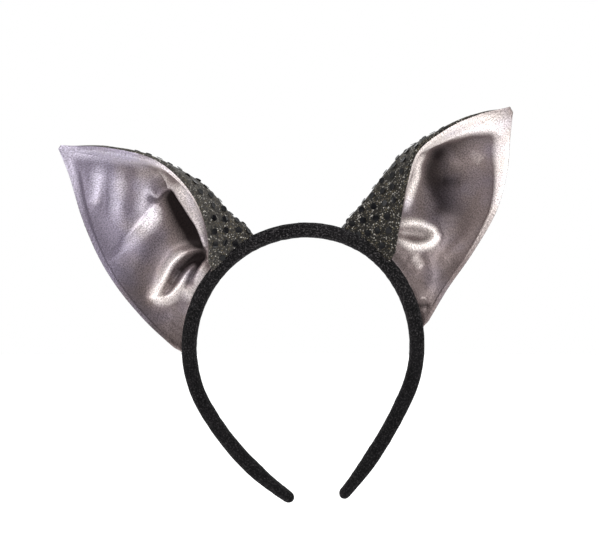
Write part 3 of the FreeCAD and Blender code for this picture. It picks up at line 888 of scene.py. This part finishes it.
# ---------------------------------------------------------------- threads
def thread_mesh(name, bars, radius, material):
    """Short stitches, each an arched capsule between two points that bulges along a third."""
    steps, sides = 7, 8
    turn = np.linspace(0, 2 * math.pi, sides, endpoint=False)
    vertices, faces = [], []
    for start, end, up in bars:
        run = end - start
        length = np.linalg.norm(run)
        ahead = run / length
        side = np.cross(up, ahead)
        side /= np.linalg.norm(side)
        over = np.cross(ahead, side)
        base = len(vertices)
        for k in range(steps):
            t = k / (steps - 1)
            thick = radius * math.sqrt(max(1 - (2 * t - 1) ** 6, 0.02))
            centre = start + run * t + over * (radius * 1.5 * math.sin(math.pi * t) - radius * 0.4)
            for a in turn:
                vertices.append(centre + thick * (math.cos(a) * side + math.sin(a) * over))
        faces += [[base + f for f in quad] for quad in grid_faces(steps, sides, closed=True)]
    piece = mesh_object(name, vertices, faces)
    add_material(piece, material)
    return piece


def base_stitches(name, ear, material):
    """Hand stitches over the ear's base, from the cloth down into the band's cover."""
    random = np.random.default_rng(8 if ear["side"] < 0 else 9)
    bars = []
    for v in np.arange(0.015, 0.99, THREAD_STEP):
        place, y = hairpin(ear, np.array([v + random.uniform(-0.004, 0.004)]))
        point, outward = band_frame(ear["side"] * place)
        point, outward, y = point[0], outward[0], float(y[0])
        face = np.array([0.0, math.copysign(1.0, y) if abs(y) > 0.4 else 0.0, 0.0])
        if not face.any():
            continue
        depth = y + face[1] * random.uniform(0.9, 1.15)
        low = point + outward * (cover_height(np.array(depth + face[1] * 0.9)) - 0.05)
        high = point + outward * (cover_height(np.array(y)) + random.uniform(0.9, 1.3))
        low[1], high[1] = depth + face[1] * 0.7, y + face[1] * 0.85
        slant = np.cross(outward, [0, 1, 0]) * random.uniform(0.3, 0.7)
        bars.append((low, high + slant, outward * 0.4 + face))
    return thread_mesh(name + "_base_stitches_thread", bars, THREAD_R, material)


# ---------------------------------------------------------------- assembly
def bend_at_base(piece, name):
    """Works out which way is up across the ear's flop joint, then bakes the piece's placement into its
    mesh; nothing is bent.
    """
    joint = next(j for j in frame["joints"] if j["name"] == name + "_ear_flop")
    up = Vector(joint["axis"]).cross(Vector((0, 1, 0)))
    if up.z < 0:
        up = -up
    up.normalize()
    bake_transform(piece)


def make_ear(name, ear, materials):
    """One ear: satin in front, sequin cloth and sequins behind, and the hand stitches at its base."""
    flip = ear["side"] > 0
    satin, shade = satin_grid(name, ear)
    cloth = cloth_grid(name, ear)
    front = sheet_object(name + "_ear_satin", satin, not flip, materials["satin"])
    # The painted light and shade of the satin's rims and folds go on it as the attribute shade.
    layer = front.data.attributes.new("shade", "FLOAT", "POINT")
    layer.data.foreach_set("value", np.clip(shade, -1, 1).astype(np.float32).ravel())
    back = sheet_object(name + "_ear_sequin_cloth", cloth, flip, materials["cloth"])
    discs = sequin_mesh(name + "_ear_sequin_discs", ear, cloth, materials["sequin"])
    for piece in (front, back, discs):
        bend_at_base(piece, name)
    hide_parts(name + "_ear_satin_front", name + "_ear_edge_seams")
    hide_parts(name + "_ear_sequin_back", name + "_ear_foam_stiffener")
    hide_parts(name + "_ear_sequins")
    threads = base_stitches(name, ear, materials["thread"])
    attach(threads, name + "_arm")
    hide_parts(name + "_base_stitches")


def make_band(materials):
    """The knitted cover, one half on each side; neither half is bent where its side flexes."""
    for name, side, flex in (("left", -1, LEFT_FLEX), ("right", 1, RIGHT_FLEX)):
        cover = cover_mesh(name + "_cover", side, materials["knit"])
        centre, normal = band_frame(np.array([side * flex]))
        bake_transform(cover)
        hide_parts(name + "_arm_cover", name + "_arm_foam")
        if side < 0:
            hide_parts("crown_cover", "crown_foam")


def make_materials():
    return {
        "satin": satin_material(),
        "cloth": sequin_cloth_material(),
        "sequin": sequin_material(),
        "knit": knit_material(),
        "thread": plain_material("thread", (0.02, 0.02, 0.022), 0.7, 2500.0, 0.0001),
        "plastic": plain_material("core_plastic", (0.045, 0.045, 0.05), 0.45, 400.0, 0.00005),
    }


# ---------------------------------------------------------------- studio
def area_light(name, place, aim, size, power):
    data = bpy.data.lights.new(name, "AREA")
    data.shape = "RECTANGLE"
    data.size, data.size_y = size
    data.energy = power
    light = bpy.data.objects.new(name, data)
    light.location = place
    light.rotation_euler = (Vector(aim) - Vector(place)).to_track_quat("-Z", "Y").to_euler()
    bpy.context.scene.collection.objects.link(light)


def make_floor():
    """A pale floor, lit from within behind the object and duller in front of it."""
    sides, radius, middle_y, level = 48, 3500, 600, -200.0
    turn = np.linspace(0, 2 * math.pi, sides, endpoint=False)
    x, y = radius * np.cos(turn), middle_y + radius * np.sin(turn)
    rim = np.stack([x, y, np.full(sides, level)], axis=-1)
    floor = mesh_object("floor", rim, [list(range(sides))])
    material, nodes, links, shader = new_material("floor")
    shader.inputs["Base Color"].default_value = (0.5, 0.5, 0.5, 1)
    shader.inputs["Roughness"].default_value = 0.9
    shader.inputs["Emission Color"].default_value = (1, 1, 1, 1)
    links.new(front_to_back(nodes, links, coordinates(nodes, "Object"), -1.4, 0.15, 0.4, 0.9),
              shader.inputs["Emission Strength"])
    floor.data.materials.append(material)


def front_to_back(nodes, links, vector, first, last, dull, bright):
    """A value that rises smoothly along Y."""
    split = nodes.new("ShaderNodeSeparateXYZ")
    links.new(vector, split.inputs["Vector"])
    spread = nodes.new("ShaderNodeMapRange")
    spread.interpolation_type = "SMOOTHSTEP"
    for socket, value in zip(spread.inputs[1:5], (first, last, dull, bright)):
        socket.default_value = value
    links.new(split.outputs["Y"], spread.inputs["Value"])
    return spread.outputs["Result"]


def make_studio():
    """A white world that is duller in front, and four soft lamps."""
    world = bpy.data.worlds.new("studio")
    world.use_nodes = True
    nodes, links = world.node_tree.nodes, world.node_tree.links
    nodes["Background"].inputs["Color"].default_value = (1.0, 1.0, 1.0, 1)
    links.new(front_to_back(nodes, links, coordinates(nodes, "Generated"), -0.5, 0.25, 0.34, 1.0),
              nodes["Background"].inputs["Strength"])
    bpy.context.scene.world = world
    aim = (0, 0, -0.02)
    area_light("key", (-0.55, -1.0, 0.75), aim, (0.45, 0.45), 11.8)
    area_light("side", (-1.1, -0.3, 0.15), aim, (0.3, 0.8), 2.2)
    area_light("fill", (0.9, -0.75, 0.3), aim, (0.35, 0.7), 6.5)
    area_light("top", (0.05, -0.1, 1.2), aim, (1.0, 0.5), 6)
    bpy.context.scene.view_settings.view_transform = "Standard"


def make_camera():
    """The photograph's view: level, straight in front, and as wide as the photograph."""
    distance, picture_width = 1.2, 0.3193
    camera = bpy.data.objects.new("camera", bpy.data.cameras.new("camera"))
    camera.data.sensor_width = 36.0
    camera.data.lens = 36.0 * distance / picture_width
    camera.location = (-0.0029, -distance, -0.0224)
    camera.rotation_euler = (math.pi / 2, 0, 0)
    camera.data.clip_start = 0.05
    camera.data.clip_end = 50
    bpy.context.scene.collection.objects.link(camera)
    bpy.context.scene.camera = camera


def main():
    materials = make_materials()
    for name in ("crown_core", "left_arm_core", "right_arm_core"):
        core = frame["nodes"][name]
        core.data.materials.clear()
        core.data.materials.append(materials["plastic"])
    make_band(materials)
    for name, ear in EARS.items():
        make_ear(name, ear, materials)
    make_floor()
    make_studio()
    make_camera()


main()
